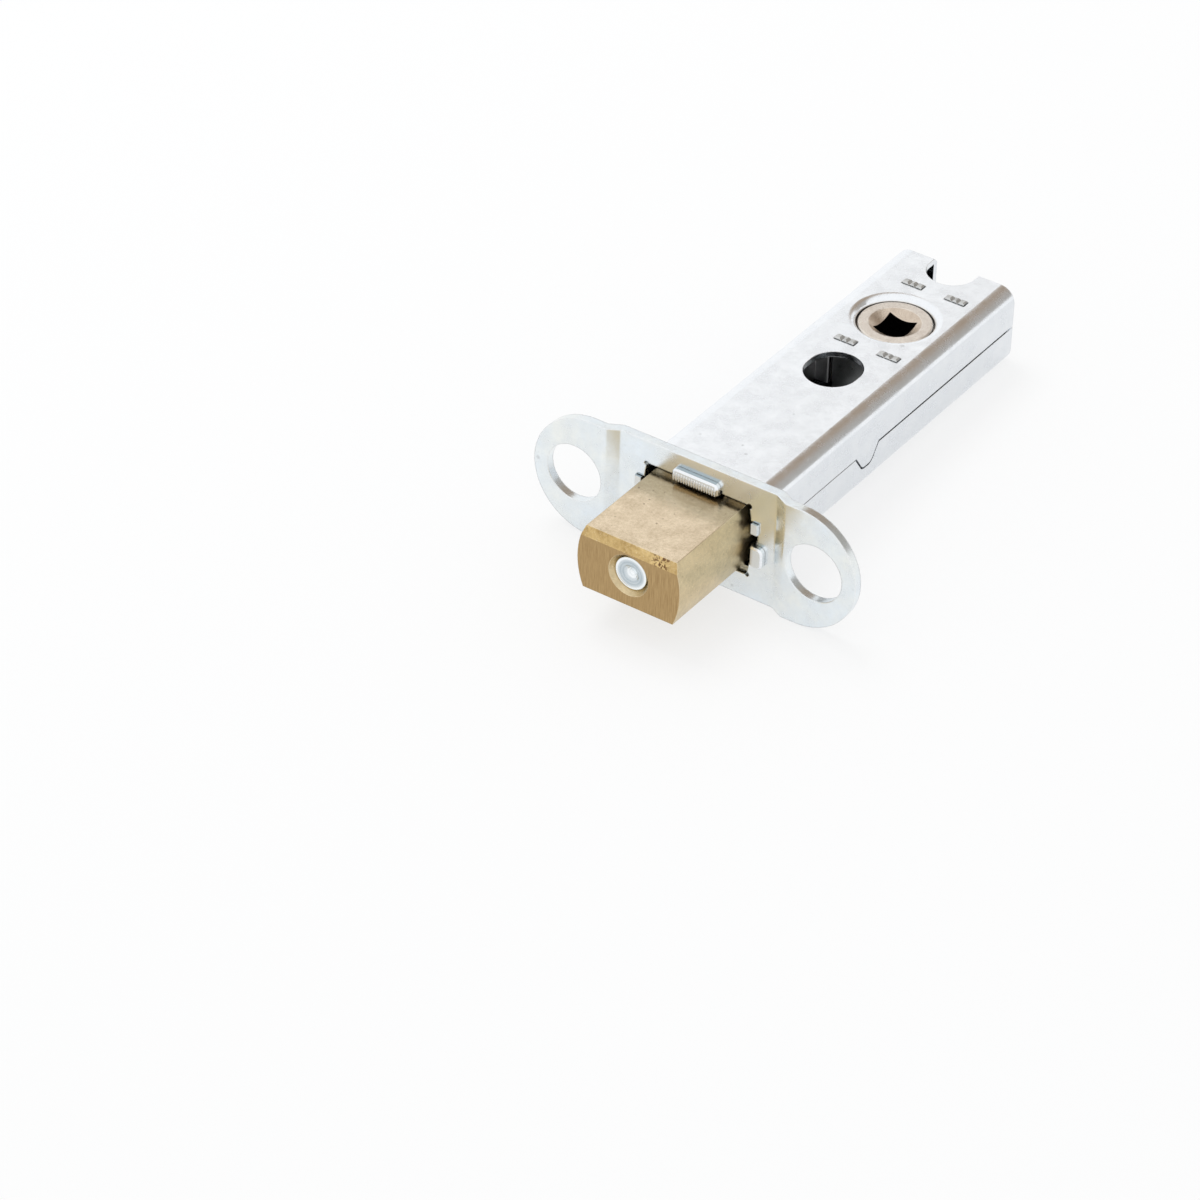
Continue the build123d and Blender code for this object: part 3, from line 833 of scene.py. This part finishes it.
# %% Run the tree and keep the mesh
def row_of_ribs(name, count, start, step, radius, stretch, material):
    """Runs the rib tree with these sizes and keeps the result as a plain mesh."""
    carrier = bpy.data.objects.new(name + "_carrier", bpy.data.meshes.new(name + "_carrier"))
    bpy.context.scene.collection.objects.link(carrier)
    modifier = carrier.modifiers.new("ribs", "NODES")
    values = {"Count": count, "Start": start, "Step": step, "Radius": radius}
    values.update({"Stretch": stretch, "Finish": material})
    for socket in rib_row.interface.items_tree:
        if socket.in_out == "INPUT" and socket.name in values:
            modifier[socket.identifier] = values[socket.name]
    modifier.node_group = rib_row
    bpy.context.view_layer.update()
    depsgraph = bpy.context.evaluated_depsgraph_get()
    mesh = bpy.data.meshes.new_from_object(carrier.evaluated_get(depsgraph))
    mesh.name = name
    bpy.data.objects.remove(carrier)
    piece = bpy.data.objects.new(name, mesh)
    bpy.context.scene.collection.objects.link(piece)
    return piece


print("maker of rows ready:", row_of_ribs.__name__)

# %% [markdown]
# ## The two rows
# Each wide tab's front is 8.4 mm long with rounded ends, and its 17 ribs fill the straight stretch
# between them. The ribs are stretched upward into slim ridges and sunk a little into the tab. They
# ride on the case, because the tabs are folded from it.

# %% Make the two rows
TAB_FRONT = 0.15 * MM
TAB_WIDTH = 8.4 * MM
TAB_CORNER = 0.9 * MM
RIB_COUNT = 17
RIB_RADIUS = 0.22 * MM
RIB_SINK = 0.25 * RIB_RADIUS
RIB_STRETCH = (1.0, 1.0, 3.6)
RIB_LEVEL = 7.0 * MM
pitch = (TAB_WIDTH - TAB_CORNER) / (RIB_COUNT - 1)
for side, label in ((1, "upper"), (-1, "lower")):
    first = ((TAB_CORNER - TAB_WIDTH) / 2, TAB_FRONT + RIB_SINK, side * RIB_LEVEL)
    ribs = row_of_ribs(
        f"{label}_tab_ribs", RIB_COUNT, first, (pitch, 0.0, 0.0), RIB_RADIUS, RIB_STRETCH, case_zinc
    )
    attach(ribs, "case")
    print(ribs.name, "faces:", len(ribs.data.polygons))

# %% [markdown]
# ## The table's place
# The lock lies on the forend's lower edge and the rear end of the case, so the table is drawn as a
# plane through those two edges. A hair's gap is left below them, because two faces in one place
# would show through each other in patches.

# %% Find the table's slope
CASE_HALF_HEIGHT = 7.0 * MM
REAR_ROUNDING = 0.9 * MM
TABLE_GAP = 0.02 * MM
forend_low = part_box("forend_plate")
case_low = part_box("case_lower_shell")
front_foot = (forend_low[1].y, forend_low[0].z)
rear_foot = (case_low[1].y - REAR_ROUNDING, -CASE_HALF_HEIGHT)
slope = (rear_foot[1] - front_foot[1]) / (rear_foot[0] - front_foot[0])


def table_height(y):
    return front_foot[1] - TABLE_GAP + (y - front_foot[0]) * slope


print("table tilt in degrees:", round(math.degrees(math.atan(slope)), 2))

# %% [markdown]
# ## The table's surface
# The picture's ground is almost pure white, and only a faint shadow lies under the lock. A white
# matt surface alone would look grey there, so a glow is mixed in, but only for rays that look at it.
# Light that bounces off it stays plain. From below the table is clear, so that the lock can be
# looked at from there too.

# %% The table's surface
TABLE_WHITE = rgb(0.92, 0.925, 0.93)
TABLE_GLOW = 0.70


def looking(tree):
    """Whether a ray looks from the camera, in a mirror or through glass, and doesn't carry light."""
    ray = tree.nodes.new("ShaderNodeLightPath").outputs
    seen = arithmetic(tree, "MAXIMUM", ray["Is Camera Ray"], ray["Is Glossy Ray"])
    return arithmetic(tree, "MAXIMUM", seen, ray["Is Transmission Ray"])


def mix_shaders(tree, amount, first, second):
    """One surface under another, by amount."""
    item = tree.nodes.new("ShaderNodeMixShader")
    for socket, value in zip(item.inputs, (amount, first, second)):
        tree.links.new(value, socket)
    return item.outputs[0]


def table_material():
    material = bpy.data.materials.new("table_white")
    material.use_nodes = True
    tree = material.node_tree
    shader = tree.nodes["Principled BSDF"]
    shader.inputs["Base Color"].default_value = TABLE_WHITE
    shader.inputs["Roughness"].default_value = 0.9
    shader.inputs["Specular IOR Level"].default_value = 0.1
    glow = make(tree, "ShaderNodeEmission", Color=rgb(1.0, 1.0, 1.0), Strength=1.0)
    lifted = mix_shaders(tree, times(tree, looking(tree), TABLE_GLOW), shader.outputs[0], glow.outputs[0])
    below = tree.nodes.new("ShaderNodeNewGeometry").outputs["Backfacing"]
    clear = tree.nodes.new("ShaderNodeBsdfTransparent")
    final = mix_shaders(tree, below, lifted, clear.outputs[0])
    tree.links.new(final, tree.nodes["Material Output"].inputs["Surface"])
    return material


print("table glow:", TABLE_GLOW)

# %% [markdown]
# ## The table
# The table is one square face that reaches far past the picture, so that no edge of it shows.

# %% Table
TABLE_REACH = 3.0


def build_table():
    corners = [(-1, -1), (1, -1), (1, 1), (-1, 1)]
    points = [(x * TABLE_REACH, y * TABLE_REACH, table_height(y * TABLE_REACH)) for x, y in corners]
    mesh = bpy.data.meshes.new("table")
    mesh.from_pydata(points, [], [(0, 1, 2, 3)])
    mesh.materials.append(table_material())
    top = bpy.data.objects.new("table", mesh)
    bpy.context.scene.collection.objects.link(top)
    return top


table = build_table()
print("table:", table.name, "material:", table.data.materials[0].name)

# %% [markdown]
# ## The room and the lamp
# The room is white all round, which is what gives plated metal its pale look, and a little dimmer
# as a light than as a picture, so that shadows keep some depth. One large lamp from the upper left
# shapes the lock. It is kept out of mirror images, because flat plate would turn its own into a
# blank white patch.

# %% Room and lamp
ROOM_AS_LIGHT = 0.85
LAMP_PLACE = (-0.38, 0.12, 0.85)
LAMP_AIM = (0.0, 0.02, 0.0)
LAMP_SIZE = 0.45
LAMP_POWER = 2.0


def build_room():
    world = bpy.data.worlds.new("white_room")
    world.use_nodes = True
    tree = world.node_tree
    background = tree.nodes["Background"]
    strength = span(tree, looking(tree), 0.0, 1.0, ROOM_AS_LIGHT, 1.0)
    tree.links.new(strength, background.inputs["Strength"])
    background.inputs["Color"].default_value = rgb(1.0, 1.0, 1.0)
    bpy.context.scene.world = world


def area_lamp(name, place, aim, size, power):
    lamp = bpy.data.lights.new(name, "AREA")
    lamp.size = size
    lamp.energy = power
    holder = bpy.data.objects.new(name, lamp)
    holder.location = place
    holder.rotation_mode = "QUATERNION"
    holder.rotation_quaternion = (Vector(aim) - Vector(place)).to_track_quat("-Z", "Y")
    holder.visible_glossy = False
    bpy.context.scene.collection.objects.link(holder)
    return holder


build_room()
key = area_lamp("key_lamp", LAMP_PLACE, LAMP_AIM, LAMP_SIZE, LAMP_POWER)
print("room:", bpy.context.scene.world.name, "key lamp power:", key.data.energy)

# %% [markdown]
# ## A brown screen to mirror
# The rounded long edge of the case has a soft brown stripe, which is a mirror image of the room. A
# curved brown card gives it something to mirror. The card is out of the camera's sight, lights
# nothing that is matt and casts no shadow, so it shows only as a mirror image. Toward the right it
# turns greyer, as the stripe does.

# %% The card's colours
SCREEN_BROWN, SCREEN_GREY = rgb(0.355, 0.28, 0.215), rgb(0.40, 0.385, 0.365)
SCREEN_FADE = 0.55


def screen_material():
    material = bpy.data.materials.new("brown_card")
    material.use_nodes = True
    tree = material.node_tree
    across = apart(tree, tree.nodes.new("ShaderNodeTexCoord").outputs["Object"])["X"]
    colour = blend(tree, span(tree, across, 0.0, SCREEN_FADE), SCREEN_BROWN, SCREEN_GREY)
    dim = make(tree, "ShaderNodeEmission", Color=colour, Strength=1.0)
    tree.links.new(dim.outputs[0], tree.nodes["Material Output"].inputs["Surface"])
    return material


print("the card turns from brown to grey over, in m:", SCREEN_FADE)

# %% [markdown]
# ## The card's shape
# A rounded edge mirrors a whole fan of directions at once, so the card is an arc around the lock,
# drawn degree by degree. Its first and last degree decide where the stripe lies and how wide it is.

# %% Brown screen
SCREEN_DEPTH = 0.60
SCREEN_RADIUS = 0.68
SCREEN_BAND = 0.42
SCREEN_FROM, SCREEN_TO = -28, 73


def brown_screen():
    """A curved brown card, out of the camera's sight, that the rounded long edge mirrors."""
    points, faces = [], []
    for degree in range(SCREEN_FROM, SCREEN_TO + 1):
        across, upward = math.sin(math.radians(degree)), math.cos(math.radians(degree))
        for radius in (SCREEN_RADIUS - SCREEN_BAND, SCREEN_RADIUS + SCREEN_BAND):
            points.append((radius * across, SCREEN_DEPTH, radius * upward))
    for first in range(0, len(points) - 2, 2):
        faces.append((first, first + 1, first + 3, first + 2))
    mesh = bpy.data.meshes.new("brown_screen")
    mesh.from_pydata(points, [], faces)
    mesh.materials.append(screen_material())
    screen = bpy.data.objects.new("brown_screen", mesh)
    bpy.context.scene.collection.objects.link(screen)
    screen.visible_camera = False
    screen.visible_diffuse = False
    screen.visible_shadow = False
    return screen


brown_screen()
print("screen spans degrees:", SCREEN_TO - SCREEN_FROM)

# %% [markdown]
# ## The camera
# The camera stands where the picture was taken from: ahead of the lock, to its right and well above
# it, with a long lens. Its aim and its small roll were found by matching known sizes of the lock.

# %% Camera
CAMERA_PLACE = Vector((0.33417, -0.51481, 0.44150))
CAMERA_AIM = Vector((-0.00994, -0.00975, -0.01326))
CAMERA_ROLL = math.radians(1.37)
CAMERA_LENS = 149.28
SENSOR = 36.0
NEAREST, FARTHEST = 0.01, 20.0


def build_camera():
    camera = bpy.data.cameras.new("camera")
    camera.lens = CAMERA_LENS
    camera.sensor_width = SENSOR
    camera.clip_start = NEAREST
    camera.clip_end = FARTHEST
    back = (CAMERA_PLACE - CAMERA_AIM).normalized()
    level = Vector(UP).cross(back).normalized()
    right = level * math.cos(CAMERA_ROLL) + back.cross(level) * math.sin(CAMERA_ROLL)
    up = back.cross(right)
    turn = Matrix((right, up, back)).transposed()
    holder = bpy.data.objects.new("camera", camera)
    holder.rotation_mode = "QUATERNION"
    holder.rotation_quaternion = turn.to_quaternion()
    holder.location = CAMERA_PLACE
    bpy.context.scene.collection.objects.link(holder)
    bpy.context.scene.camera = holder


build_camera()
bpy.context.scene.view_settings.view_transform = "Standard"
print("camera distance in mm:", round((CAMERA_PLACE - CAMERA_AIM).length / MM, 1))
